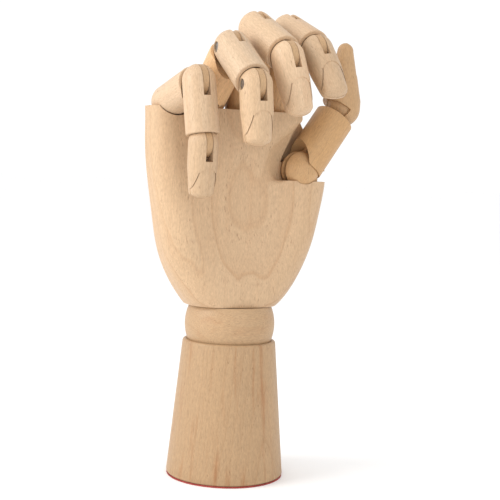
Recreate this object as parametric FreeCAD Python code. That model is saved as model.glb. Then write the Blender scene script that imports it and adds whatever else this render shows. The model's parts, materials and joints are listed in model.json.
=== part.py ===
import FreeCAD, Part
import math
import os

# Wooden hand mannequin, right hand, 305 mm tall with the fingers straight.
# Millimetres. +Z is up the forearm, the palm faces -Y, the thumb is on the +X side.
# The origin is the middle of the felt's underside.

# Fits
ball_gap = 0.3            # between a ball and the seat it turns in
slot_gap = 0.3            # each side of a tongue in its slot
pin_run = 0.06            # radial clearance of a tongue on its pin
pin_grip = 0.01           # radial clearance of a pin in the cheeks it stays in
glue_gap = 0.02           # each side of a glued tongue or stem
head_gap = 0.1            # around a pin head in its counterbore

# Forearm and felt
felt_thickness = 0.8
felt_inset = 0.3
base_radius = 31.6
neck_radius = 25.2
forearm_top = 73.8
foot_rounding = 1.2
lip_rounding = 1.4

# Wrist
wrist_radius = 24.3
wrist_rise = 8.6          # the ball's centre above the forearm's rim
wrist_height = forearm_top + wrist_rise
wrist_flat = 10.3         # flat top of the ball above its centre
spring_bore_radius = 9.0
spring_roof = 13.8        # wood between the spring and the ball
spring_bore_top = wrist_height - wrist_radius - ball_gap - spring_roof
spindle_radius = 2.2
spindle_run = 0.1
spindle_bottom = 14.0
eye_radius = 3.8
wrist_tilt = 24.0         # each way
wrist_pin_radius = 1.4
wrist_pin_half = 11.0
pivot_radius = 6.0
pivot_run = 0.06
pivot_depth = 4.2
pivot_stem_radius = 3.0
pivot_stem_length = 14.0
spring_wire = 1.4
spring_radius = 6.6
spring_turns = 6
crest_share = 0.5
nut_height = 4.0
nut_across = 9.0
nut_sides = 6
washer_thickness = 1.2
washer_radius = 8.2

# Palm: height above its underside, left and right edge, front, back, corner radius
palm_bottom = wrist_height + wrist_flat + ball_gap
palm_sections = (
    (0.0, -25.2, 24.2, -19.2, 19.4, 17.0),
    (4.0, -28.2, 28.0, -19.8, 20.2, 17.0),
    (10.0, -32.2, 32.6, -19.8, 20.6, 17.0),
    (19.0, -37.0, 37.8, -19.4, 20.4, 16.5),
    (41.0, -43.4, 46.0, -18.0, 19.0, 15.4),
    (60.0, -46.6, 49.9, -16.6, 17.4, 14.0),
    (73.0, -48.6, 51.0, -15.6, 16.2, 13.0),
    (91.0, -50.0, 45.0, -14.0, 14.2, 11.4),
    (103.6, -50.6, 36.4, -12.8, 12.6, 10.2),
)
palm_top = palm_bottom + palm_sections[-1][0]
hollow_radius = 100.0
hollow_depth = 3.8
hollow_front = -16.8
hollow_side = 4.0
hollow_rise = 57.0
hollow_stretch_share = 1.25
ledge_rise = 67.6         # the ledge under the thumb, above the palm's underside
ledge_height = palm_bottom + ledge_rise
thumb_bay_radius = 12.0
thumb_bay_back = 3.6
recess_radius = 37.0      # the palm sinks in a round bowl towards the thumb
recess_depth = 5.4        # behind the thumb's hinge
recess_side = 4.0

# Fingers, straight ones stand along +Z
tongue_thickness = 3.2
tongue_inset = 0.3        # tongue disc below the ball's surface
neck_share = 0.42         # tongue neck half width as a share of the ball radius
pocket_depth = 3.6        # a tongue's neck goes this far below its seat
stem_radius = 1.5
stem_length = 6.0
slot_reach = 8.6          # square bottom of a slot, out from the hinge
rim_drop_share = 0.56     # hinge above the flat rim of its seat, of the ball radius
rim_rounding = 0.7
pin_radius = 1.3
head_radius = 2.7
head_thickness = 0.7
head_depth = 1.5
segment_lengths = (40.5, 34.0, 30.3)
segment_radii = (10.0, 9.3, 8.3)
tip_share = 0.84          # tip radius as a share of the last segment's radius
tip_dome_share = 0.45     # length of the domed tip as a share of that radius
taper_start_share = 0.42  # the straight part of the last segment
pad_bow = 60.0            # radius of the curve that thins the fingertip's pad
pad_thinning = 4.6
nail_start_share = 0.44
nail_root_share = 0.56    # half width of the nail at its root and at the tip
nail_tip_share = 0.98
nail_arch_share = 0.5
nail_step = 0.25
nail_groove_depth = 1.1
nail_groove_width = 0.4

finger_names = ("little", "ring", "middle", "index")
# Hinge in the palm: across, front to back, above the palm's top edge
finger_hinges = ((-39.5, -1.6, 2.4), (-18.6, -0.6, 3.7), (2.8, -0.9, 3.6), (24.7, -1.1, 3.9))
finger_shares = (0.905, 0.985, 1.018, 0.99)
yaw_angles = (6.0, 4.7, 5.8, 4.8)        # the plane a finger curls in, from -Y towards +X
lean_angles = (-1.9, -2.2, -3.4, -1.4)
rest_angles = ((76.0, 95.0, 14.0), (50.0, 76.0, 50.0), (22.0, 96.5, 43.0), (10.0, 102.0, 33.0))
largest_angles = ((79.0, 103.0, 50.0), (56.0, 104.0, 72.0), (45.0, 104.0, 72.0),
                  (45.0, 106.0, 72.0))
# Twist of the middle and the last segment about the one before it
twist_angles = ((0.4, -1.0), (-0.8, 1.2), (1.2, 3.0), (-1.2, 8.0))
# Side on which each knuckle's pin was driven in
pin_sides = ((1, 1, 1), (1, -1, -1), (1, 1, 1), (1, 1, 1))

# Thumb
thumb_across = 34.1
thumb_forward = -8.4
thumb_rise = 5.7          # its hinge above the ledge
thumb_yaw_angle = -82.0
thumb_lean_angle = 36.0   # outward from upright, at rest
thumb_in_angle = 14.0     # it swings this far inward from rest
thumb_out_angle = 6.0     # and this far outward
thumb_bend_angle = 33.5
thumb_bend_most_angle = 60.0
thumb_root_radius = 10.4
thumb_segment = 43.4
thumb_radius = 11.0
thumb_seat_rise = 2.6
thumb_trough_angle = 78.7
thumb_rim_drop = 7.0
thumb_tip_length = 35.8
thumb_tip_radius = 10.4
thumb_taper_share = 0.12
thumb_point_share = 0.44
thumb_stem_radius = 3.0
thumb_stem_length = 12.0
thumb_heel_angle = 31.0
thumb_heel_offset = 1.2
thumb_heel_radius = 8.8   # the ball left standing under the heel's cut
thumb_pin_side = -1

thumb_hinge = (thumb_across, thumb_forward, ledge_height + thumb_rise)
origin = FreeCAD.Vector(0, 0, 0)
axis_x = FreeCAD.Vector(1, 0, 0)
axis_y = FreeCAD.Vector(0, 1, 0)
axis_z = FreeCAD.Vector(0, 0, 1)
right_angle = 90.0
full_turn = 360.0
rounding_count = 5        # straight pieces of a turned rounding
foot_count = 6
dome_count = 8
sweep_count = 4           # cuts that sweep a space over a joint's travel
tilt_count = 3


def turn(axis, degrees):
    return FreeCAD.Placement(origin, FreeCAD.Rotation(axis, degrees))


def shift(x, y, z):
    return FreeCAD.Placement(FreeCAD.Vector(x, y, z), FreeCAD.Rotation())


def placed(shape, placement):
    moved = shape.copy()
    moved.Placement = placement.multiply(shape.Placement)
    return moved


def block(low, high):
    size = [high[i] - low[i] for i in range(3)]
    return Part.makeBox(size[0], size[1], size[2], FreeCAD.Vector(*low))


def rod(radius, start, end, axis=axis_z):
    return Part.makeCylinder(radius, end - start, axis * start, axis)


def ball(radius, centre=origin):
    whole = Part.makeSphere(radius)
    return placed(whole, FreeCAD.Placement(centre, FreeCAD.Rotation()))


def turned(points):
    wire = Part.makePolygon([FreeCAD.Vector(x, 0, z) for x, z in points + [points[0]]])
    return Part.Face(wire).revolve(origin, axis_z, full_turn)


def corner_points(radius, low, high, rounding, count=rounding_count):
    # Points of a straight side from low to high whose top corner is rounded.
    points = [(radius, low)]
    for i in range(count + 1):
        angle = math.radians(right_angle * i / count)
        across = radius - rounding + rounding * math.cos(angle)
        points.append((across, high - rounding + rounding * math.sin(angle)))
    return points


# Knuckle pieces. In every segment's own frame the hinge is the origin, +Z runs
# out along the segment, -Y is the palm side and the hinge axis is X.

def seat_space(radius, bend, reach):
    # What a ball and its segment need as they turn up to their largest bend.
    clear = radius + ball_gap
    trough = placed(rod(clear, 0, reach), turn(axis_x, bend))
    return ball(clear).fuse(trough)


def tongue_sizes(radius):
    disc = min(radius - tongue_inset, slot_reach - slot_gap)
    return disc, radius * neck_share, radius + ball_gap + pocket_depth


def tongue(radius):
    disc, neck, depth = tongue_sizes(radius)
    half = tongue_thickness / 2
    shape = rod(disc, -half, half, axis_x)
    shape = shape.fuse(block((-half, -neck, -depth), (half, neck, 0)))
    shape = shape.fuse(rod(stem_radius, -depth - stem_length, -depth))
    return shape.cut(rod(pin_radius + pin_run, -half, half, axis_x)).removeSplitter()


def tongue_pocket(radius):
    neck, depth = tongue_sizes(radius)[1:]
    half = tongue_thickness / 2 + glue_gap
    wide = neck + glue_gap
    pocket = block((-half, -wide, -depth), (half, wide, 0))
    return pocket.fuse(rod(stem_radius + glue_gap, -depth - stem_length, -depth))


def slot(radius):
    half = tongue_thickness / 2 + slot_gap
    wide = radius + ball_gap
    return block((-half, -wide, -wide), (half, wide, slot_reach))


def pin_half(radius):
    return math.sqrt(radius ** 2 - head_radius ** 2) - head_depth


def pin_space(radius, side):
    # A blind hole, with a counterbore for the head on the side it is driven from.
    half = pin_half(radius)
    space = rod(pin_radius + pin_grip, -half, half, axis_x)
    ends = sorted((side * half, side * radius))
    return space.fuse(rod(head_radius + head_gap, ends[0], ends[1], axis_x))


def pin(radius, side):
    half = pin_half(radius)
    shape = rod(pin_radius, -half, half, axis_x)
    ends = sorted((side * half, side * (half + head_thickness)))
    return shape.fuse(rod(head_radius, ends[0], ends[1], axis_x))


def ball_end(shape, radius, side):
    return shape.fuse(ball(radius)).cut(slot(radius)).cut(pin_space(radius, side))


def seat_rim(length, next_radius):
    return length - next_radius * rim_drop_share


def segment(radius, length, next_radius, bend, side, twist):
    # A ball end at the origin and a seat for the next segment at the far end.
    top = seat_rim(length, next_radius)
    body = turned([(0, 0)] + corner_points(radius, 0, top, rim_rounding) + [(0, top)])
    body = ball_end(body, radius, side)
    tools = seat_space(next_radius, bend, radius * 2).fuse(tongue_pocket(next_radius))
    return body.cut(placed(tools, shift(0, 0, length).multiply(turn(axis_z, twist))))


def tip_outline(radius, length, start, tip, inset=0.0):
    # Half the outline of a tapered tip with a domed end.
    dome = radius * tip_dome_share
    points = [(0, 0), (radius - inset, 0), (radius - inset, start)]
    for i in range(dome_count + 1):
        angle = math.radians(right_angle * i / dome_count)
        across = (tip - inset) * math.cos(angle)
        points.append((across, length - dome + (dome - inset) * math.sin(angle)))
    return turned(points)


def pad_cut(radius, length):
    # What the long curve on the pad side takes off a fingertip.
    start = length * taper_start_share
    bow = placed(rod(pad_bow, -radius, radius, axis_x), shift(0, pad_bow - radius, start))
    bow = placed(bow, turn(axis_x, -math.degrees(pad_thinning / length)))
    reach = radius * 2
    return block((-radius, -reach, start), (radius, reach, length)).cut(bow)


def nail_corners(radius, length):
    # The nail's right side, from its root to the tip: across and along.
    half = radius * nail_root_share
    root = length * nail_start_share + half * nail_arch_share
    return (half, root), (radius * nail_tip_share, length)


def nail_plate(radius, length):
    near, far = nail_corners(radius, length)
    root = FreeCAD.Vector(0, 0, length * nail_start_share)
    left, right = [FreeCAD.Vector(side * near[0], 0, near[1]) for side in (-1, 1)]
    far_left, far_right = [FreeCAD.Vector(side * far[0], 0, far[1]) for side in (-1, 1)]
    edges = [Part.Arc(left, root, right).toShape(),
             Part.makeLine(right, far_right),
             Part.makeLine(far_right, far_left),
             Part.makeLine(far_left, left)]
    return Part.Face(Part.Wire(edges)).extrude(axis_y * radius)


def nail_groove(radius, length, side):
    # A saw cut along one side of the nail.
    near, far = nail_corners(radius, length)
    wide = nail_groove_width
    points = [near, far, (far[0] + wide, far[1]), (near[0] + wide, near[1]), near]
    outline = Part.makePolygon([FreeCAD.Vector(side * x, 0, z) for x, z in points])
    return Part.Face(outline).extrude(axis_y * radius)


def nail_space(radius, length, start, tip):
    # The nail lies a little below the finger's surface, between two saw cuts.
    space = nail_plate(radius, length).cut(tip_outline(radius, length, start, tip, nail_step))
    core = tip_outline(radius, length, start, tip, nail_groove_depth)
    for side in (-1, 1):
        space = space.fuse(nail_groove(radius, length, side).cut(core))
    return space


def distal(radius, length, side):
    start = length * taper_start_share
    tip = radius * tip_share
    body = tip_outline(radius, length, start, tip).cut(pad_cut(radius, length))
    return ball_end(body, radius, side).cut(nail_space(radius, length, start, tip))


# Forearm and wrist

def forearm():
    low = felt_thickness
    points = [(0, low), (base_radius - foot_rounding, low)]
    for i in range(1, foot_count + 1):
        angle = math.radians(right_angle * i / foot_count)
        across = base_radius - foot_rounding + foot_rounding * math.sin(angle)
        points.append((across, low + foot_rounding - foot_rounding * math.cos(angle)))
    points += corner_points(neck_radius, forearm_top - lip_rounding, forearm_top, lip_rounding)[1:]
    points.append((0, forearm_top))
    body = turned(points)
    body = body.cut(ball(wrist_radius + ball_gap, axis_z * wrist_height))
    body = body.cut(rod(spring_bore_radius, low, spring_bore_top))
    return body.cut(rod(spindle_radius + spindle_run, 0, wrist_height))


def spindle():
    # The rod that turns in the forearm, with an eye at the ball's centre.
    shape = rod(spindle_radius, spindle_bottom, wrist_height)
    half = spindle_radius
    eye = placed(rod(eye_radius, -half, half, axis_x), shift(0, 0, wrist_height))
    hole = rod(wrist_pin_radius + pin_run, -eye_radius, eye_radius, axis_x)
    return shape.fuse(eye).cut(placed(hole, shift(0, 0, wrist_height)))


def wrist_ball():
    # Flat on top, with a slot below for the spindle to tilt in.
    low = wrist_flat
    body = ball(wrist_radius)
    body = body.cut(block((-wrist_radius, -wrist_radius, low), (wrist_radius,) * 3))
    half = spindle_radius + slot_gap
    wide = eye_radius + slot_gap
    body = body.cut(rod(wide, -half, half, axis_x))
    for step in range(-tilt_count, tilt_count + 1):
        arm = block((-half, -wide, -wrist_radius * 2), (half, wide, 0))
        body = body.cut(placed(arm, turn(axis_x, step * wrist_tilt / tilt_count)))
    body = body.cut(rod(wrist_pin_radius + pin_grip, -wrist_pin_half, wrist_pin_half, axis_x))
    body = body.cut(rod(pivot_radius + pivot_run, low - pivot_depth - pivot_run, low))
    return placed(body, shift(0, 0, wrist_height))


def wrist_pin():
    shape = rod(wrist_pin_radius, -wrist_pin_half, wrist_pin_half, axis_x)
    return placed(shape, shift(0, 0, wrist_height))


def pivot(grow=0.0):
    # The stud under the palm that turns in the top of the wrist ball.
    low = palm_bottom - ball_gap - pivot_depth
    shape = rod(pivot_radius + grow, low, palm_bottom + pivot_depth)
    top = palm_bottom + pivot_depth
    return shape.fuse(rod(pivot_stem_radius + grow, top, top + pivot_stem_length))


def spring():
    # The coil around the spindle, squeezed tight between the two washers.
    low = spindle_bottom + nut_height + washer_thickness
    high = spring_bore_top - washer_thickness
    pitch = (high - low) / spring_turns
    inner = spring_radius - spring_wire / 2
    points = [(inner, high), (inner, low)]
    for i in range(spring_turns):
        points.append((spring_radius, low + pitch * i))
        points.append((spring_radius + spring_wire, low + pitch * (i + crest_share)))
    points.append((spring_radius, high))
    return turned(points)


def washer(low):
    ring = rod(washer_radius, low, low + washer_thickness)
    return ring.cut(rod(spindle_radius + spindle_run, low, low + washer_thickness))


def nut():
    points = []
    for i in range(nut_sides + 1):
        angle = math.radians(i * full_turn / nut_sides)
        radius = nut_across / 2 / math.cos(math.radians(full_turn / nut_sides / 2))
        points.append(FreeCAD.Vector(radius * math.cos(angle), radius * math.sin(angle), 0))
    shape = Part.Face(Part.makePolygon(points)).extrude(axis_z * nut_height)
    shape = placed(shape, shift(0, 0, spindle_bottom))
    return shape.cut(rod(spindle_radius + glue_gap, 0, forearm_top))


def base_felt():
    return rod(base_radius - felt_inset, 0, felt_thickness)


# Palm

def palm_wire(height, left, right, front, back, radius):
    corner = radius * (1 - math.sqrt(0.5))
    points = [(left + radius, front), (right - radius, front),
              (right - corner, front + corner), (right, front + radius), (right, back - radius),
              (right - corner, back - corner), (right - radius, back), (left + radius, back),
              (left + corner, back - corner), (left, back - radius), (left, front + radius),
              (left + corner, front + corner)]
    spots = [FreeCAD.Vector(x, y, height) for x, y in points]
    edges = [Part.makeLine(spots[0], spots[1]),
             Part.Arc(spots[1], spots[2], spots[3]).toShape(),
             Part.makeLine(spots[3], spots[4]),
             Part.Arc(spots[4], spots[5], spots[6]).toShape(),
             Part.makeLine(spots[6], spots[7]),
             Part.Arc(spots[7], spots[8], spots[9]).toShape(),
             Part.makeLine(spots[9], spots[10]),
             Part.Arc(spots[10], spots[11], spots[0]).toShape()]
    return Part.Wire(edges)


def palm_hollow():
    # A shallow oval dish in the front face.
    dish = Part.makeSphere(hollow_radius)
    stretch = FreeCAD.Matrix()
    stretch.scale(1, 1, hollow_stretch_share)
    dish = dish.transformGeometry(stretch)
    back = hollow_front - hollow_radius + hollow_depth
    return placed(dish, shift(hollow_side, back, palm_bottom + hollow_rise))


def thumb_bay():
    # Above the ledge the palm sinks towards the thumb, which swings in a bay.
    x, y, z = thumb_hinge
    reach = thumb_segment * 2
    middle = FreeCAD.Vector(x + recess_side, y + recess_depth - recess_radius, z)
    bay = ball(recess_radius, middle)
    bay = bay.fuse(block((x, -reach, ledge_height), (reach * 2, thumb_bay_back, z)))
    for step in range(sweep_count + 1):
        swing = step * (thumb_in_angle + thumb_out_angle) / sweep_count - thumb_in_angle
        sweep = rod(thumb_bay_radius, 0, reach)
        bay = bay.fuse(placed(sweep, thumb_frame(thumb_lean_angle + swing)))
    over = block((-reach, -reach, ledge_height), (reach * 2, reach, palm_top * 2))
    return bay.common(over).fuse(ball(thumb_root_radius + ball_gap, FreeCAD.Vector(x, y, z)))


def palm():
    rows = [palm_wire(palm_bottom + row[0], *row[1:]) for row in palm_sections]
    body = Part.makeLoft(rows, True)
    body = body.cut(palm_hollow())
    body = body.cut(thumb_bay())
    body = body.cut(pivot(glue_gap))
    for i in range(len(finger_names)):
        radius = segment_radii[0] * finger_shares[i]
        tools = seat_space(radius, largest_angles[i][0], radius * 2)
        body = body.cut(placed(tools.fuse(tongue_pocket(radius)), finger_base(i)))
    x, y, z = thumb_hinge
    stem = rod(thumb_stem_radius + glue_gap + pin_run, z - thumb_root_radius - thumb_stem_length, z)
    return body.cut(placed(stem, shift(x, y, 0)))


# Frames of the fingers

def finger_base(i):
    x, y, rise = finger_hinges[i]
    frame = shift(x, y, palm_top + rise).multiply(turn(axis_z, yaw_angles[i]))
    return frame.multiply(turn(axis_y, lean_angles[i]))


def finger_frames(i):
    # Where the three segments stand at rest, from the knuckle outwards.
    frame = finger_base(i).multiply(turn(axis_x, rest_angles[i][0]))
    frames = [frame]
    for k in (1, 2):
        step = shift(0, 0, segment_lengths[k - 1] * finger_shares[i])
        swing = turn(axis_z, twist_angles[i][k - 1]).multiply(turn(axis_x, rest_angles[i][k]))
        frame = frame.multiply(step).multiply(swing)
        frames.append(frame)
    return frames


def thumb_frame(lean):
    base = shift(*thumb_hinge).multiply(turn(axis_z, thumb_yaw_angle))
    return base.multiply(turn(axis_x, -lean))


# Thumb

def thumb_root():
    # A slotted ball on a stem that turns in the palm.
    radius = thumb_root_radius
    half = tongue_thickness / 2 + slot_gap
    floor = tongue_sizes(radius)[0] + slot_gap
    room = block((-half, -radius, -floor), (half, radius, radius))
    body = ball(radius).cut(room).cut(pin_space(radius, thumb_pin_side))
    stem = rod(thumb_stem_radius, -radius - thumb_stem_length, -floor)
    return body.fuse(stem).removeSplitter()


def thumb_proximal():
    # Seats at both ends: one over the root ball, one for the tip segment.
    low = thumb_seat_rise
    top = thumb_segment - thumb_rim_drop
    middle = (low + top) / 2
    side = corner_points(thumb_radius, middle, top, rim_rounding)
    foot = [(x, low + top - z) for x, z in reversed(side)]
    body = turned([(0, low)] + foot + side + [(0, top)])
    body = body.cut(seat_space(thumb_root_radius, thumb_trough_angle, thumb_radius * 2))
    flip = turn(axis_y, right_angle * 2)
    body = body.cut(placed(tongue_pocket(thumb_root_radius), flip))
    tools = seat_space(thumb_tip_radius, thumb_bend_most_angle, thumb_radius * 2)
    tools = tools.fuse(tongue_pocket(thumb_tip_radius))
    return body.cut(placed(tools, shift(0, 0, thumb_segment)))


def thumb_distal():
    # A cone with a nail; its heel is cut back to a smaller ball on the pad side.
    radius = thumb_tip_radius
    start = thumb_tip_length * thumb_taper_share
    tip = radius * thumb_point_share
    body = ball_end(tip_outline(radius, thumb_tip_length, start, tip), radius, thumb_pin_side)
    body = body.cut(nail_space(radius, thumb_tip_length, start, tip))
    reach = radius * 2
    heel = block((-reach, -reach, -reach), (reach, 0, -thumb_heel_offset))
    heel = placed(heel, turn(axis_x, -thumb_heel_angle)).cut(ball(thumb_heel_radius))
    return body.cut(heel)


def save(name, shape, placement=None):
    if placement is not None:
        shape = placed(shape, placement)
    solids = shape.Solids
    if len(solids) == 1:
        shape = solids[0]
    else:
        print("pieces", name, len(solids), [round(s.Volume, 2) for s in solids])
        shape = max(solids, key=lambda s: s.Volume)
    if not shape.isValid():
        print("not valid", name)
    shape.exportStep("parts/" + name + ".step")


def save_fingers():
    for i, name in enumerate(finger_names):
        radii = [radius * finger_shares[i] for radius in segment_radii]
        lengths = [length * finger_shares[i] for length in segment_lengths]
        frames = finger_frames(i)
        bends = largest_angles[i]
        sides = pin_sides[i]
        twists = twist_angles[i]
        proximal = segment(radii[0], lengths[0], radii[1], bends[1], sides[0], twists[0])
        save(name + "_proximal", proximal, frames[0])
        middle = segment(radii[1], lengths[1], radii[2], bends[2], sides[1], twists[1])
        save(name + "_middle", middle, frames[1])
        save(name + "_distal", distal(radii[2], lengths[2], sides[2]), frames[2])
        save(name + "_root_tongue", tongue(radii[0]), finger_base(i))
        for k, joint in ((1, "middle"), (2, "tip")):
            seat = shift(0, 0, lengths[k - 1]).multiply(turn(axis_z, twists[k - 1]))
            save(name + "_" + joint + "_tongue", tongue(radii[k]), frames[k - 1].multiply(seat))
        for k, joint in enumerate(("root", "middle", "tip")):
            save(name + "_" + joint + "_pin", pin(radii[k], sides[k]), frames[k])


def save_thumb():
    base = shift(*thumb_hinge).multiply(turn(axis_z, thumb_yaw_angle))
    save("thumb_root", thumb_root(), base)
    save("thumb_root_pin", pin(thumb_root_radius, thumb_pin_side), base)
    frame = thumb_frame(thumb_lean_angle)
    save("thumb_proximal", thumb_proximal(), frame)
    flip = turn(axis_y, right_angle * 2)
    save("thumb_root_tongue", placed(tongue(thumb_root_radius), flip), frame)
    end = frame.multiply(shift(0, 0, thumb_segment))
    save("thumb_tip_tongue", tongue(thumb_tip_radius), end)
    bent = end.multiply(turn(axis_x, thumb_bend_angle))
    save("thumb_distal", thumb_distal(), bent)
    save("thumb_tip_pin", pin(thumb_tip_radius, thumb_pin_side), bent)


def main():
    os.makedirs("parts", exist_ok=True)
    save("base_felt", base_felt())
    save("forearm", forearm())
    save("wrist_spindle", spindle())
    save("wrist_spring", spring())
    save("upper_washer", washer(spring_bore_top - washer_thickness))
    save("lower_washer", washer(spindle_bottom + nut_height))
    save("wrist_nut", nut())
    save("wrist_ball", wrist_ball())
    save("wrist_pin", wrist_pin())
    save("palm_pivot", pivot())
    save("palm", palm())
    save_fingers()
    save_thumb()


main()
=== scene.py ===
# %% [markdown]
# # A jointed wooden hand
#
# The hand is a drawing aid: turned and carved pieces of pale hardwood, held
# together by flat wooden tongues and steel pins. Its shapes come from the packed
# model, which is loaded here as a fixed frame. This script gives every piece its
# finish, sets up the light, and looks at the hand from where the photograph was
# taken.

# %% Load the frame
import json
import math

import bmesh
import bpy
from mathutils import Matrix, Vector
from mathutils.kdtree import KDTree


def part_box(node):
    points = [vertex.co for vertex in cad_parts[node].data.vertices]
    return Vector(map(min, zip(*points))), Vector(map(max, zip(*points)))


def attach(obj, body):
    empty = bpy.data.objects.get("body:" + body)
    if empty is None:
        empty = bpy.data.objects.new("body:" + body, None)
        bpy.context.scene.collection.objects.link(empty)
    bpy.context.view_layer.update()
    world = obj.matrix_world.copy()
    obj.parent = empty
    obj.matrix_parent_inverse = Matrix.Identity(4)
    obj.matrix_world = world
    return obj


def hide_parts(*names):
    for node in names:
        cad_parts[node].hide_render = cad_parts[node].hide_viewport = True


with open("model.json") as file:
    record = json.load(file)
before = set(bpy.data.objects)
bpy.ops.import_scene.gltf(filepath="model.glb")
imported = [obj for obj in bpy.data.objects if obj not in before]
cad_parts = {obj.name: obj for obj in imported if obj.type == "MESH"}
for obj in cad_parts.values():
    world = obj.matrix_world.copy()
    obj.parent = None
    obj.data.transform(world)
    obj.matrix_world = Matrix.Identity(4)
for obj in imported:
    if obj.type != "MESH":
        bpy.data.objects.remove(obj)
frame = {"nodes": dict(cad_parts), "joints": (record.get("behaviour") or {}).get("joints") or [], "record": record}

nodes = frame["nodes"]
joints = {joint["name"]: joint for joint in frame["joints"]}
slots = {part["node"]: part["material_slot"] for part in frame["record"]["subparts"]}
bodies = {node: body for body, members in frame["record"]["behaviour"]["bodies"].items()
          for node in members}
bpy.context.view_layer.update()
mm = 0.001


def put_in_scene(thing):
    bpy.context.scene.collection.objects.link(thing)


# %% [markdown]
# ## The camera
#
# The photograph looks at the palm from a little to the hand's left and from about
# half its height, with a long lens, so upright lines stay nearly parallel. The
# camera's place and tilt were worked out from the ellipse of the base, the rim
# under the wrist and the knuckle holes. A camera looks along its own -Z, so its
# matrix is built from three directions: right, up, and away from the view.

# %% Camera
camera_place = Vector((-222.2, -549.1, 163.4)) * mm
camera_heading = math.radians(22.95)
camera_dip = math.radians(3.96)
camera_roll = math.radians(2.28)
lens = 79.2
farthest_seen = 20        # metres

ahead = Vector((math.sin(camera_heading) * math.cos(camera_dip),
                math.cos(camera_heading) * math.cos(camera_dip),
                -math.sin(camera_dip)))
level = ahead.cross(Vector((0, 0, 1))).normalized()
upright = level.cross(ahead)
right = level * math.cos(camera_roll) + upright * math.sin(camera_roll)
up = upright * math.cos(camera_roll) - level * math.sin(camera_roll)

camera_data = bpy.data.cameras.new("camera")
camera_data.lens = lens
camera_data.clip_end = farthest_seen
camera = bpy.data.objects.new("camera", camera_data)
turned = Matrix((right, up, -ahead)).transposed()
camera.matrix_world = Matrix.Translation(camera_place) @ turned.to_4x4()
put_in_scene(camera)
bpy.context.scene.camera = camera
print("camera", [round(c, 3) for c in camera_place])

# %% [markdown]
# ## Light and floor
#
# The photograph is a plain studio shot on pure white: one large soft light from
# the upper left, a weaker one from the front, and white all around that fills the
# shadows. White paper stays white only with the plain "Standard" view, which maps
# light straight to the screen. The floor is a wide pale sheet, wide enough that
# its far edge can't be seen.

# %% Light and floor
hand_middle = (0, 0, 0.15)
light_size = 0.8
white_strength = 1.06     # of the white all around
floor_half = 60.0


def soft_light(name, place, power):
    """A round soft light that faces the middle of the hand."""
    data = bpy.data.lights.new(name, "AREA")
    data.shape = "DISK"
    data.size = light_size
    data.energy = power
    light = bpy.data.objects.new(name, data)
    light.location = place
    facing = Vector(hand_middle) - Vector(place)
    light.rotation_euler = facing.to_track_quat("-Z", "Y").to_euler()
    put_in_scene(light)


soft_light("key_light", (-1.00, 0.02, 0.60), power=8.0)
soft_light("fill_light", (0.1, -1.0, 0.45), power=1.5)

world = bpy.data.worlds.new("studio")
world.use_nodes = True
world.node_tree.nodes["Background"].inputs["Color"].default_value = (1, 1, 1, 1)
world.node_tree.nodes["Background"].inputs["Strength"].default_value = white_strength
bpy.context.scene.world = world
bpy.context.scene.view_settings.view_transform = "Standard"
bpy.context.scene.view_settings.look = "None"

floor_mesh = bpy.data.meshes.new("floor")
floor_corners = [(-floor_half, -floor_half, 0), (floor_half, -floor_half, 0),
                 (floor_half, floor_half, 0), (-floor_half, floor_half, 0)]
floor_mesh.from_pydata(floor_corners, [], [(0, 1, 2, 3)])
floor = bpy.data.objects.new("floor", floor_mesh)
put_in_scene(floor)
print("lights and floor are set")

# %% [markdown]
# ## Shader maths as plain expressions
#
# A wood pattern is mostly arithmetic on a point's place. This small class wraps a
# node's socket, so that `1 - rings * 0.5` adds the Math nodes by itself. Every
# other kind of node is added by its one method, `node`.

# %% The wire class
class Wire:
    """A socket in a material's node tree."""

    def __init__(self, tree, socket=None):
        self.tree = tree
        self.socket = socket

    def node(self, kind, settings=None, inputs=None, out=0):
        """Adds a node: first its settings, then its sockets' values or links."""
        made = self.tree.nodes.new(kind)
        for key, value in (settings or {}).items():
            setattr(made, key, value)
        for key, value in (inputs or {}).items():
            if isinstance(value, Wire):
                self.tree.links.new(value.socket, made.inputs[key])
            else:
                made.inputs[key].default_value = value
        return Wire(self.tree, made.outputs[out])

    def maths(self, operation, *values):
        return self.node("ShaderNodeMath", {"operation": operation}, dict(enumerate(values)))

    def step(self, low, high):
        """A smooth rise from 0 at low to 1 at high."""
        return self.node("ShaderNodeMapRange", {"interpolation_type": "SMOOTHSTEP"},
                         {"Value": self, "From Min": low, "From Max": high})

    def __add__(self, other):
        return self.maths("ADD", self, other)

    def __radd__(self, other):
        return self.maths("ADD", other, self)

    def __sub__(self, other):
        return self.maths("SUBTRACT", self, other)

    def __rsub__(self, other):
        return self.maths("SUBTRACT", other, self)

    def __mul__(self, other):
        return self.maths("MULTIPLY", self, other)

    def __truediv__(self, other):
        return self.maths("DIVIDE", self, other)

    def __pow__(self, other):
        return self.maths("POWER", self, other)


# %% [markdown]
# ## Shared steps of every finish
#
# Each finish starts from the same surface and reads the piece's own coordinates,
# so that the pattern rides with it, and all but the paper end in a fine relief.
# Those steps are written once here. A blend or a ramp of colours is a node of its
# own, because a colour has three parts where the Math node has one.

# %% Shared shader steps
mix_factor, mix_first, mix_second, mix_result = 0, 6, 7, 2     # a colour mix's sockets


def blank_material(name):
    """A new material, its surface node, and a wire that carries each point's place."""
    material = bpy.data.materials.new(name)
    material.use_nodes = True
    tree = material.node_tree
    tree.nodes.clear()
    surface = tree.nodes.new("ShaderNodeBsdfPrincipled")
    output = tree.nodes.new("ShaderNodeOutputMaterial")
    tree.links.new(surface.outputs["BSDF"], output.inputs["Surface"])
    return material, surface, Wire(tree).node("ShaderNodeTexCoord", out="Object")


def plug(wire, surface, name):
    wire.tree.links.new(wire.socket, surface.inputs[name])


def noise(place, scale, detail=2.0, roughness=0.5):
    return place.node("ShaderNodeTexNoise", None, {
        "Vector": place, "Scale": scale, "Detail": detail, "Roughness": roughness})


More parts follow.
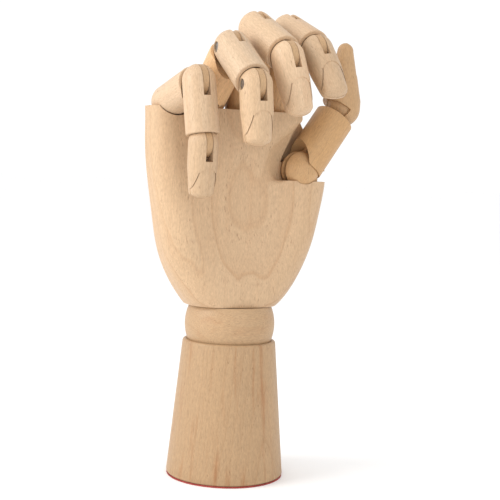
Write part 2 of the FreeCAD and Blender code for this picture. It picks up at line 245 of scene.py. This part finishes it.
def emboss(height, surface, strength, depth):
    """Tilts the surface's normal as if it had this relief."""
    plug(height.node("ShaderNodeBump", None, {
        "Strength": strength, "Distance": depth, "Height": height}), surface, "Normal")


def toned(factor, low, dark, high, pale):
    """A colour that goes from dark, where factor is low, to pale, where it is high."""
    shade = factor.node("ShaderNodeValToRGB", None, {"Fac": factor})
    for stop, (place, colour) in zip(shade.socket.node.color_ramp.elements,
                                     ((low, dark), (high, pale))):
        stop.position = place
        stop.color = (*colour, 1)
    return shade


def blended(factor, first, second, mode="MIX"):
    """Two colours, mixed or multiplied by the share that factor gives."""
    wire = second if isinstance(second, Wire) else factor
    mix = wire.node("ShaderNodeMix", {"data_type": "RGBA", "blend_type": mode}).socket.node
    for index, value in ((mix_factor, factor), (mix_first, first), (mix_second, second)):
        if isinstance(value, Wire):
            wire.tree.links.new(value.socket, mix.inputs[index])
        else:
            mix.inputs[index].default_value = (
                value if isinstance(value, float) else (*value, 1))
    return Wire(wire.tree, mix.outputs[mix_result])


print("shader steps are ready")

# %% [markdown]
# ## The wood
#
# Every piece was cut from its own bit of plank, with the grain along its length.
# The pattern is laid out in the piece's own frame: rings around a pith that lies
# well outside the piece, so they show as nearly straight lines along the sides, as
# arches where a curved surface cuts across them, and as ring lines on the ends.
# Three sizes of detail lie on that: broad reddish streaks, fine pale and dark
# fibres, and short dark pores that crowd together at the start of each ring. An
# image of wood stretched over the piece would smear on the ends; a pattern that
# fills space cuts correctly everywhere.

# %% Wood
pale_wood = (0.56, 0.385, 0.235)
ring_wood = (0.455, 0.275, 0.148)
streak_wood = (0.465, 0.250, 0.125)
pore_wood = (0.20, 0.100, 0.045)
warm_loss = (0.0, 0.10, 0.26)               # red, green and blue that warmth takes away

ring_wander = 7.0 * mm                      # how far a ring strays from its circle
band_depth, line_depth = 0.16, 0.34         # late wood, and the line that ends a ring
plain_ring, varied_ring = 0.35, 0.8         # what each ring shows, and how rings differ
streak_depth = 0.45
late_pores, early_pores = 0.35, 0.65
pore_depth = 0.50
fibre_tint, mottle_tint, blotch_tint = 0.22, 0.58, 0.16
wood_roughness, fibre_roughness, pore_roughness = 0.46, 0.25, 0.2
fibre_relief, mottle_relief = 0.4, 0.5      # beside a pore's relief of 1
wood_glint = 0.3


def shade_of(colour, tone, warmth):
    """The same wood from a darker or warmer plank; on some pieces the warmth is painted shade."""
    return tuple(part * tone * (1 - warmth * loss) for part, loss in zip(colour, warm_loss))


def along_grain(local, squeeze, shift):
    """Coordinates squeezed along the grain, so that a noise on them is drawn out."""
    return local.node("ShaderNodeMapping", {"vector_type": "POINT"},
                      {"Vector": local, "Scale": (1, 1, squeeze), "Location": shift})


def wood(name, start, turn, pith, ring_width, seed, plank):
    """Wood whose grain runs along the Z of a frame at start, turned by turn."""
    tone, warmth, ring_share, streak_share = plank
    pale, ring, streak, pore = [shade_of(colour, tone, warmth)
                                for colour in (pale_wood, ring_wood, streak_wood, pore_wood)]
    material, surface, place = blank_material(name)
    local = place.node("ShaderNodeMapping", {"vector_type": "TEXTURE"},
                       {"Vector": place, "Location": start, "Rotation": turn})
    parts = local.node("ShaderNodeSeparateXYZ", None, {0: local}).socket.node
    x, y = (Wire(local.tree, parts.outputs[i]) for i in range(2))

    wander = noise(along_grain(local, 0.12, (seed, 0, 0)), 45.0)
    away = ((x - pith[0] * mm) ** 2.0 + (y - pith[1] * mm) ** 2.0) ** 0.5
    rings = (away + (wander - 0.5) * ring_wander) / (ring_width * mm)
    phase = local.maths("FRACT", rings)
    band = phase.step(0.10, 0.85) * (1.0 - phase.step(0.92, 1.0))
    line = phase.step(0.80, 0.93) * (1.0 - phase.step(0.94, 1.0))
    early = 1.0 - phase.step(0.0, 0.35)
    which = local.node("ShaderNodeTexWhiteNoise", {"noise_dimensions": "1D"},
                       {"W": local.maths("FLOOR", rings)})

    streaks = noise(along_grain(local, 0.04, (0, seed, 0)), 210.0, 3.0, 0.6)
    fibres = noise(along_grain(local, 0.03, (0, seed, 1)), 1500.0, 3.0, 0.65)
    mottle = noise(along_grain(local, 0.30, (seed, 1, 0)), 1500.0, 2.5, 0.7)
    blotch = noise(along_grain(local, 0.4, (1, 0, seed)), 28.0, 2.0, 0.5)
    dashes = noise(along_grain(local, 0.16, (0, 1, seed)), 1900.0, 1.0, 0.5)
    pores = dashes.step(0.62, 0.72) * (late_pores + early * early_pores)

    ring_shown = (band * band_depth + line * line_depth) * (plain_ring + which * varied_ring)
    colour = blended(ring_shown * ring_share, pale, ring)
    colour = blended(streaks.step(0.50, 0.80) * streak_depth * streak_share, colour, streak)
    tint = (1.0 + (fibres - 0.5) * fibre_tint + (mottle - 0.5) * mottle_tint
            + (blotch - 0.5) * blotch_tint)
    grey = local.node("ShaderNodeCombineColor", None, {0: tint, 1: tint, 2: tint})
    colour = blended(1.0, colour, grey, "MULTIPLY")
    colour = blended(pores * pore_depth, colour, pore)
    plug(colour, surface, "Base Color")
    surface.inputs["Specular IOR Level"].default_value = wood_glint
    plug(wood_roughness + (fibres - 0.5) * fibre_roughness + pores * pore_roughness,
         surface, "Roughness")
    emboss(fibres * fibre_relief + mottle * mottle_relief - pores, surface, 0.3, 0.12 * mm)
    return material


print("wood colours", pale_wood, ring_wood, streak_wood, pore_wood)

# %% [markdown]
# ## Steel, felt and paper
#
# The pins' heads sit deep in their holes and only glint: bare metal with fine
# marks, so its tone and its polish vary with one noise. Its colours are darker
# than clean steel: painted shade for the deep holes that the heads sit in. The
# felt under the foot shows as a thin dark red line of wool, which has a coarse
# noise for its clumps and a fine one for its hairs. The floor is a sheet of pale
# matt paper.

# %% Steel, felt and paper
def steel():
    material, surface, place = blank_material("pin_steel_painted_shade")
    marks = noise(place, 900.0, 4.0, 0.6)
    # Painted shade: darker than clean steel, for the deep holes the heads sit in.
    plug(toned(marks, 0.3, (0.20, 0.17, 0.15), 0.7, (0.48, 0.45, 0.42)),
         surface, "Base Color")
    plug(0.28 + marks * 0.2, surface, "Roughness")
    surface.inputs["Metallic"].default_value = 1.0
    emboss(marks, surface, 0.15, 0.05 * mm)
    return material


def felt():
    material, surface, place = blank_material("red_felt")
    wool = noise(place, 1500.0, 5.0, 0.7)
    clumps = noise(place, 260.0, 3.0, 0.6)
    plug(toned(wool * 0.6 + clumps * 0.4, 0.3, (0.20, 0.025, 0.02), 0.7, (0.48, 0.09, 0.07)),
         surface, "Base Color")
    surface.inputs["Roughness"].default_value = 0.95
    emboss(wool, surface, 0.8, 0.3 * mm)
    return material


def paper():
    material, surface, place = blank_material("pale_floor")
    plug(toned(noise(place, 40.0), 0.0, (0.93, 0.93, 0.93), 1.0, (0.96, 0.96, 0.96)),
         surface, "Base Color")
    surface.inputs["Roughness"].default_value = 0.9
    return material


floor.data.materials.append(paper())
print("floor finish", floor.data.materials[0].name)

# %% [markdown]
# ## Dressing the pieces
#
# The model's solids arrive as loose triangles. A copy of each one is merged and
# shaded smooth, except across its real edges, and takes the solid's place, so that
# turned surfaces look turned. Each copy gets its finish as its one material and
# rides on the same body, so it moves with the joint it belongs to.

# %% Smooth copies
sharp_edge = math.radians(32)
merged_within = 0.002 * mm


def smooth_copy(node, finish, shaping=None):
    """A smooth copy of a solid, first put through shaping if that is given."""
    mesh = nodes[node].data.copy()
    mesh.name = node + "_wood"
    work = bmesh.new()
    work.from_mesh(mesh)
    bmesh.ops.remove_doubles(work, verts=work.verts, dist=merged_within)
    if shaping:
        shaping(work)
    for edge in work.edges:
        angle = edge.calc_face_angle(0.0) if len(edge.link_faces) == 2 else math.pi
        edge.smooth = angle < sharp_edge
    for face in work.faces:
        face.smooth = True
    work.to_mesh(mesh)
    work.free()
    piece = bpy.data.objects.new(node + "_shown", mesh)
    put_in_scene(piece)
    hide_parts(node)
    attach(piece, bodies[node])
    mesh.materials.clear()
    mesh.materials.append(finish)


print("edges sharper than", round(math.degrees(sharp_edge)), "degrees stay crisp")

# %% [markdown]
# ## Sanding the palm
#
# The hollow of the palm and the dip beside the thumb are cut with round cutters,
# and then sanded by hand, so the real edges between them are soft. Rounding them
# in the solid model is fragile. Here the triangles near those edges are divided
# until they are small, and each point is then moved towards the middle of its
# neighbours, many times, which wears an edge down and leaves flat ground alone.
# The ledge under the thumb, the top and the underside keep their crisp edges.

# %% Where the palm may wear
sanded_full, sanded_none = 4 * mm, 10 * mm      # away from a crease
front_start, front_end = 8 * mm, 11 * mm        # forward of the palm's middle
foot_start, foot_end = 4 * mm, 8 * mm           # above the underside
top_fade = 4 * mm
top_crisp, top_crisp_left = 3 * mm, 22 * mm     # below the top: at the thumb's side, elsewhere
left_of = 5 * mm
ledge_half = 6 * mm
ledge_start, ledge_end = 17 * mm, 24 * mm
thumb_hinge_rise = 5.7 * mm
palm_low, palm_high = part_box("palm")
ledge_top = joints["thumb_root"]["pos_m"][2] - thumb_hinge_rise


def ramp(value, start, end):
    """A smooth rise from 0 at start to 1 at end."""
    share = min(1.0, max(0.0, (value - start) / (end - start)))
    return share * share * (3 - 2 * share)


def may_wear(point):
    """How freely a point of the palm may move: 0 on the edges that stay crisp."""
    share = ramp(-point.y, front_start, front_end)
    share *= ramp(point.z, palm_low.z + foot_start, palm_low.z + foot_end)
    crisp_top = palm_high.z - (top_crisp if point.x > left_of else top_crisp_left)
    share *= 1 - ramp(point.z, crisp_top - top_fade, crisp_top)
    if abs(point.z - ledge_top) < ledge_half:
        share *= 1 - ramp(point.x, ledge_start, ledge_end)
    return share


print("ledge at", round(ledge_top / mm, 1), "mm, palm's top at", round(palm_high.z / mm, 1))

# %% Sanding
crease_angle = math.radians(7)
least_wear = 0.05
longest_edge = 1.7 * mm
most_halvings = 9
looks_along_edge = 8
strokes = 36
stroke_share = 0.5        # of the way to the middle of the neighbours
crease_room = 20000


def crease_points(work):
    """Points along the edges that sanding wears down, ready to be searched."""
    creases = KDTree(crease_room)
    found = 0
    for edge in work.edges:
        if len(edge.link_faces) == 2 and edge.calc_face_angle(0.0) > crease_angle:
            first, last = (vertex.co for vertex in edge.verts)
            steps = max(2, int((last - first).length / longest_edge))
            for step in range(steps + 1):
                point = first.lerp(last, step / steps)
                if may_wear(point) > least_wear:
                    creases.insert(point, found)
                    found += 1
    creases.balance()
    print("crease points", found)
    return creases


def divide_near(work, creases):
    """Halves the edges near a crease until they are short."""
    shares = [look / looks_along_edge for look in range(looks_along_edge + 1)]

    def near(point):
        return creases.find(point)[2] < sanded_none and may_wear(point) > 0

    for _ in range(most_halvings):
        long_edges = []
        for edge in work.edges:
            if edge.calc_length() > longest_edge:
                first, last = (vertex.co for vertex in edge.verts)
                if any(near(first.lerp(last, share)) for share in shares):
                    long_edges.append(edge)
        if not long_edges:
            break
        bmesh.ops.subdivide_edges(work, edges=long_edges, cuts=1)
        wide_faces = [face for face in work.faces if len(face.verts) > 3]
        bmesh.ops.triangulate(work, faces=wide_faces)


def sand(work):
    creases = crease_points(work)
    divide_near(work, creases)
    weights = {}
    for vertex in work.verts:
        share = may_wear(vertex.co)
        if share > 0:
            share *= 1 - ramp(creases.find(vertex.co)[2], sanded_full, sanded_none)
        if share > 0:
            weights[vertex] = share
    for _ in range(strokes):
        moved = {}
        for vertex, share in weights.items():
            around = [edge.other_vert(vertex).co for edge in vertex.link_edges]
            middle = sum(around, Vector()) / len(around)
            moved[vertex] = vertex.co.lerp(middle, stroke_share * share)
        for vertex, place in moved.items():
            vertex.co = place
    print("sanded points", len(weights), "of", len(work.verts))


# %% [markdown]
# ## Which way the grain runs
#
# A turner cuts each finger bone with the grain along it, or it would snap at the
# slot. So each bone has a frame of its own: it starts at the bone's hinge and
# points at the next hinge, or at the middle of the fingertip. The palm, the
# column, the thumb's ball and the flat tongues have their grain upright. The
# wrist's ball was turned from wood laid on its side. The hinges' places come from
# the frame, so the grain follows the fingers however they are set.

# %% Grain frames
fingers = ("little", "ring", "middle", "index")
straight_up = Vector((0, 0, 1))
ball_grain = Vector((1, 0.1, 0.05))


def centre(node):
    low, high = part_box(node)
    return (low + high) / 2


def hinge(name):
    return Vector(joints[name]["pos_m"])


def grain_frame(start, end, across):
    """The turn whose Z runs from start to end, with X near across."""
    z = (Vector(end) - Vector(start)).normalized()
    x = (Vector(across) - z * Vector(across).dot(z)).normalized()
    y = z.cross(x)
    return Matrix((x, y, z)).transposed().to_euler()


bones = {}
for finger in fingers:
    across = joints[finger + "_middle"]["axis"]
    ends = [hinge(finger + "_" + joint) for joint in ("root", "middle", "tip")]
    ends.append(centre(finger + "_distal"))
    for bone, start, end in zip(("_proximal", "_middle", "_distal"), ends, ends[1:]):
        bones[finger + bone] = (start, end, across)
thumb_across = joints["thumb_tip"]["axis"]
bones["thumb_proximal"] = (hinge("thumb_root"), hinge("thumb_tip"), thumb_across)
bones["thumb_distal"] = (hinge("thumb_tip"), centre("thumb_distal"), thumb_across)
for node in ("forearm", "palm", "thumb_root"):
    low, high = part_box(node)
    middle = (low + high) / 2
    foot = Vector((middle.x, middle.y, low.z))
    bones[node] = (foot, foot + straight_up, (1, 0, 0))
for node in nodes:
    if node.endswith("_tongue"):
        middle = centre(node)
        bones[node] = (middle, middle + straight_up, (1, 0, 0))
ball_middle = centre("wrist_ball")
bones["wrist_ball"] = (ball_middle, ball_middle + ball_grain, (0, 0, 1))
print("grain frames", len(bones))

# %% [markdown]
# ## Planks and their rings
#
# The pieces come from different bits of plank, and on the real hand they differ in tone:
# the palm is pale, the column darker and streaked. A table gives each plank that
# stands out, and the rest differ a little from one to the next. In the table the
# thumb and the lower finger bones are also warmer and redder: painted shade, for
# the warm bounced light in the shade under the fingers and in the thumb's recess.
# The pith's place says how the rings lie in a piece: far away they look straight,
# near they arch. The palm and the column are the largest pieces, so their rings
# show most and are listed one by one.

# %% Wood for every piece
piths = ((55, 30), (-40, 48), (30, -60), (-62, -25), (48, 52), (-35, -50), (66, -12))
own_rings = {"palm": ((4, 60), 5.0), "forearm": ((-190, 420), 2.6)}
seed_step = 0.37
# For each plank: tone, warmth, and how plainly its rings and its streaks show.
plank_tones_and_painted_shade = {
    "palm": (0.965, 0.1, 1.0, 0.4),
    "forearm": (0.74, 0.6, 1.0, 2.4),
    "wrist_ball": (0.79, 0.5, 0.7, 1.0),
    # Painted shade: the thumb's high warmth stands in for warm bounced light in its shade.
    "thumb_proximal": (0.89, 1.3, 0.4, 0.5),
    "thumb_distal": (0.85, 0.9, 0.4, 0.5),
    "thumb_root": (0.92, 1.1, 0.4, 0.5),
    "index_distal": (0.90, -0.1, 0.5, 0.5),
    "middle_distal": (1.08, -0.3, 0.5, 0.5),
    "ring_distal": (0.97, 0.0, 0.5, 0.8),
    # Painted shade: the warmth of ring_, index_ and middle_proximal stands in for the same.
    "ring_proximal": (1.18, 0.8, 0.5, 0.5),
    "little_distal": (0.91, 0.0, 0.5, 0.5),
    "index_proximal": (1.0, 0.9, 0.5, 0.5),
    "middle_proximal": (1.0, 0.9, 0.5, 0.5),
}
tongue_plank = (0.84, 0.7, 0.5, 0.8)


def usual_rings(count):
    return piths[count % len(piths)], 2.2 + 0.5 * (count % 4)


def usual_plank(node, count):
    if node.endswith("_tongue"):
        return tongue_plank
    return 0.98 + 0.02 * (count % 4), 0.12 * (count % 3) - 0.5, 0.5, 0.6


for count, node in enumerate(sorted(bones)):
    start, end, across = bones[node]
    pith, width = own_rings.get(node, usual_rings(count))
    plank = plank_tones_and_painted_shade.get(node, usual_plank(node, count))
    finish = wood("wood_" + node, start, grain_frame(start, end, across), pith, width,
                  count * seed_step, plank)
    smooth_copy(node, finish, sand if node == "palm" else None)
print("wooden pieces", len(bones))

# %% [markdown]
# ## The pieces that aren't wood
#
# The pins, the palm's pivot, the spindle with its washers and nut, and the spring
# are steel, and they share one finish. The disc under the foot is felt.

# %% Steel and felt pieces
finishes = {"steel": steel(), "felt": felt()}
for node in sorted(nodes):
    if slots[node] in finishes:
        smooth_copy(node, finishes[slots[node]])
print("steel and felt pieces", sum(slots[node] in finishes for node in nodes))

# %% [markdown]
# ## The felt's nap
#
# Cut felt isn't smooth at its edge: short wool hairs stand out of it. Modelling
# thousands of hairs by hand is hopeless, so Geometry Nodes scatter points over the
# felt's rim and set a thin three-sided hair on each. The hairs are short enough to
# stay under the wooden foot. The result is turned into a plain mesh.

# %% The nap's node tree
rim_steepness = 0.3       # the largest upward share of a normal that still is the rim
hair_sides = 3
hair_lean = 0.7
hair_spin = 6.28
hairs = {"Hairs per square metre": 9.0e6, "Hair length": 0.28 * mm,
         "Hair radius": 0.035 * mm, "Seed": 4}


def nap_tree(finish):
    """Nodes that grow hairs on the upright faces of a mesh."""
    tree = bpy.data.node_groups.new("felt_nap", "GeometryNodeTree")
    tree.interface.new_socket("Geometry", in_out="INPUT", socket_type="NodeSocketGeometry")
    for label, value in hairs.items():
        kind = "NodeSocketInt" if isinstance(value, int) else "NodeSocketFloat"
        tree.interface.new_socket(label, in_out="INPUT", socket_type=kind)
    tree.interface.new_socket("Geometry", in_out="OUTPUT", socket_type="NodeSocketGeometry")
    add, link = tree.nodes.new, tree.links.new
    given, made = add("NodeGroupInput"), add("NodeGroupOutput")

    facing = add("GeometryNodeInputNormal")
    split = add("ShaderNodeSeparateXYZ")
    steepness = add("ShaderNodeMath")
    steepness.operation = "ABSOLUTE"
    rim = add("FunctionNodeCompare")
    rim.operation = "LESS_THAN"
    rim.inputs["B"].default_value = rim_steepness
    link(facing.outputs["Normal"], split.inputs[0])
    link(split.outputs["Z"], steepness.inputs[0])
    link(steepness.outputs[0], rim.inputs["A"])

    scatter = add("GeometryNodeDistributePointsOnFaces")
    link(given.outputs["Geometry"], scatter.inputs["Mesh"])
    link(rim.outputs[0], scatter.inputs["Selection"])
    link(given.outputs["Hairs per square metre"], scatter.inputs["Density"])
    link(given.outputs["Seed"], scatter.inputs["Seed"])

    hair = add("GeometryNodeMeshCone")
    hair.inputs["Vertices"].default_value = hair_sides
    link(given.outputs["Hair length"], hair.inputs["Depth"])
    link(given.outputs["Hair radius"], hair.inputs["Radius Bottom"])

    lean = add("FunctionNodeRandomValue")
    lean.data_type = "FLOAT_VECTOR"
    lean.inputs["Min"].default_value = (-hair_lean, -hair_lean, 0)
    lean.inputs["Max"].default_value = (hair_lean, hair_lean, hair_spin)
    link(given.outputs["Seed"], lean.inputs["Seed"])
    turn = add("FunctionNodeRotateRotation")
    turn.rotation_space = "LOCAL"
    link(scatter.outputs["Rotation"], turn.inputs["Rotation"])
    link(lean.outputs["Value"], turn.inputs["Rotate By"])

    plant = add("GeometryNodeInstanceOnPoints")
    link(scatter.outputs["Points"], plant.inputs["Points"])
    link(hair.outputs["Mesh"], plant.inputs["Instance"])
    link(turn.outputs["Rotation"], plant.inputs["Rotation"])
    real = add("GeometryNodeRealizeInstances")
    paint = add("GeometryNodeSetMaterial")
    paint.inputs["Material"].default_value = finish
    link(plant.outputs["Instances"], real.inputs["Geometry"])
    link(real.outputs["Geometry"], paint.inputs["Geometry"])
    link(paint.outputs["Geometry"], made.inputs["Geometry"])
    return tree


# %% Felt nap
rim_object = bpy.data.objects.new("felt_rim", bpy.data.objects["base_felt_shown"].data.copy())
put_in_scene(rim_object)
grower = rim_object.modifiers.new("nap", "NODES")
grower.node_group = nap_tree(finishes["felt"])
for item in grower.node_group.interface.items_tree:
    if item.in_out == "INPUT" and item.name in hairs:
        grower[item.identifier] = hairs[item.name]
grown = rim_object.evaluated_get(bpy.context.evaluated_depsgraph_get())
nap_mesh = bpy.data.meshes.new_from_object(grown)
bpy.data.objects.remove(rim_object)
for vertex in nap_mesh.vertices:
    vertex.co.z = max(vertex.co.z, 0.0)      # no hair reaches into the table
nap = bpy.data.objects.new("felt_nap", nap_mesh)
put_in_scene(nap)
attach(nap, bodies["base_felt"])
low = [min(vertex.co[i] for vertex in nap_mesh.vertices) for i in range(3)]
high = [max(vertex.co[i] for vertex in nap_mesh.vertices) for i in range(3)]
print("nap faces", len(nap_mesh.polygons), "from", low, "to", high)
